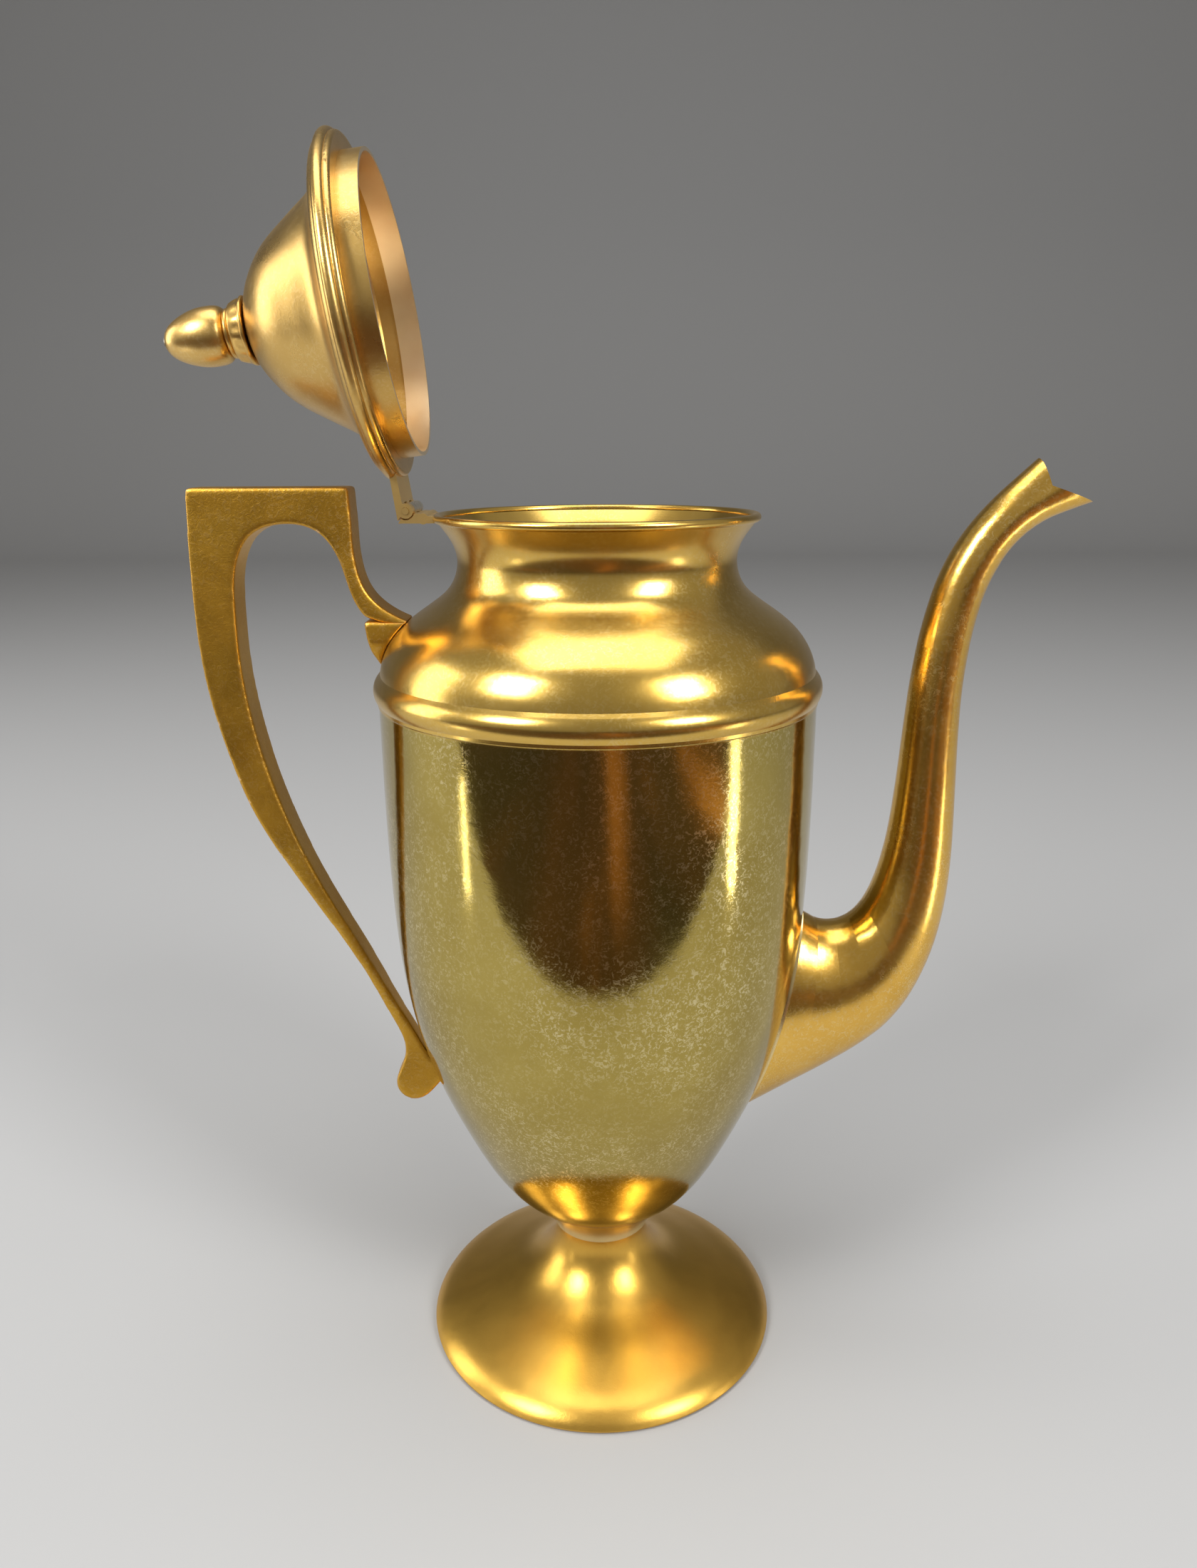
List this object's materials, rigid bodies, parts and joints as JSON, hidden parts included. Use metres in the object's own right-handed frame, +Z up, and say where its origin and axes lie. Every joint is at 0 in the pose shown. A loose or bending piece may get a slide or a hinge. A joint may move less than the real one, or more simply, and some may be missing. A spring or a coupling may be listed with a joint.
{
  "type": "coffee pot",
  "caption": "Footed gold-coloured coffee pot with a swan-neck spout, an angular cast handle and a domed hinged lid with an acorn finial, shown open.",
  "frame": {"origin": "centre of the standing ring under the foot, on the table", "axes": "+Z up along the pot, +X towards the spout, +Y to the far side when the spout points right"},
  "size_m": [0.2017, 0.1022, 0.286],
  "materials": {
    "polished_body": "polished gold plate with fine pitting",
    "polished_spout": "polished gold plate",
    "satin_foot": "satin gold plate",
    "cast_handle": "dull worn gold plate",
    "satin_lid": "satin gold plate",
    "lid_lining": "pale worn plate",
    "finial_brass": "satin gold plate",
    "hinge_brass": "bright gold plate",
    "pale_collar": "satin pale plate",
    "pale_solder": "bright pale metal",
    "nickel_tube": "worn bright metal",
    "bare_steel": "dull metal"
  },
  "bodies": {
    "pot": {"belt_moulding": "polished_body", "body_shell": "polished_body", "foot": "satin_foot", "foot_collar": "pale_collar", "foot_ring": "satin_foot", "handle": "cast_handle", "handle_pad": "cast_handle", "hinge_pin": "hinge_brass", "pot_knuckle_1": "nickel_tube", "pot_knuckle_2": "nickel_tube", "pot_leaf": "hinge_brass", "rim_ring": "polished_body", "shoulder_shell": "polished_body", "spout": "polished_spout", "spout_strip": "pale_solder"},
    "lid": {"lid_dome": "satin_lid", "lid_ring": "satin_lid", "lid_bezel": "lid_lining", "finial_collar": "finial_brass", "finial_bead": "finial_brass", "finial_acorn": "finial_brass", "finial_stud": "bare_steel", "finial_washer": "finial_brass", "finial_nut": "finial_brass", "lid_leaf": "hinge_brass", "lid_knuckle_1": "hinge_brass", "lid_knuckle_2": "nickel_tube", "lid_knuckle_3": "nickel_tube"}
  },
  "joints": [
    {"name": "lid_hinge", "type": "hinge", "parent": "pot", "child": "lid", "pos_m": [-0.0412, 0, 0.21085], "axis": [0, 1, 0], "range_deg": [0, 97.8]}
  ]
}
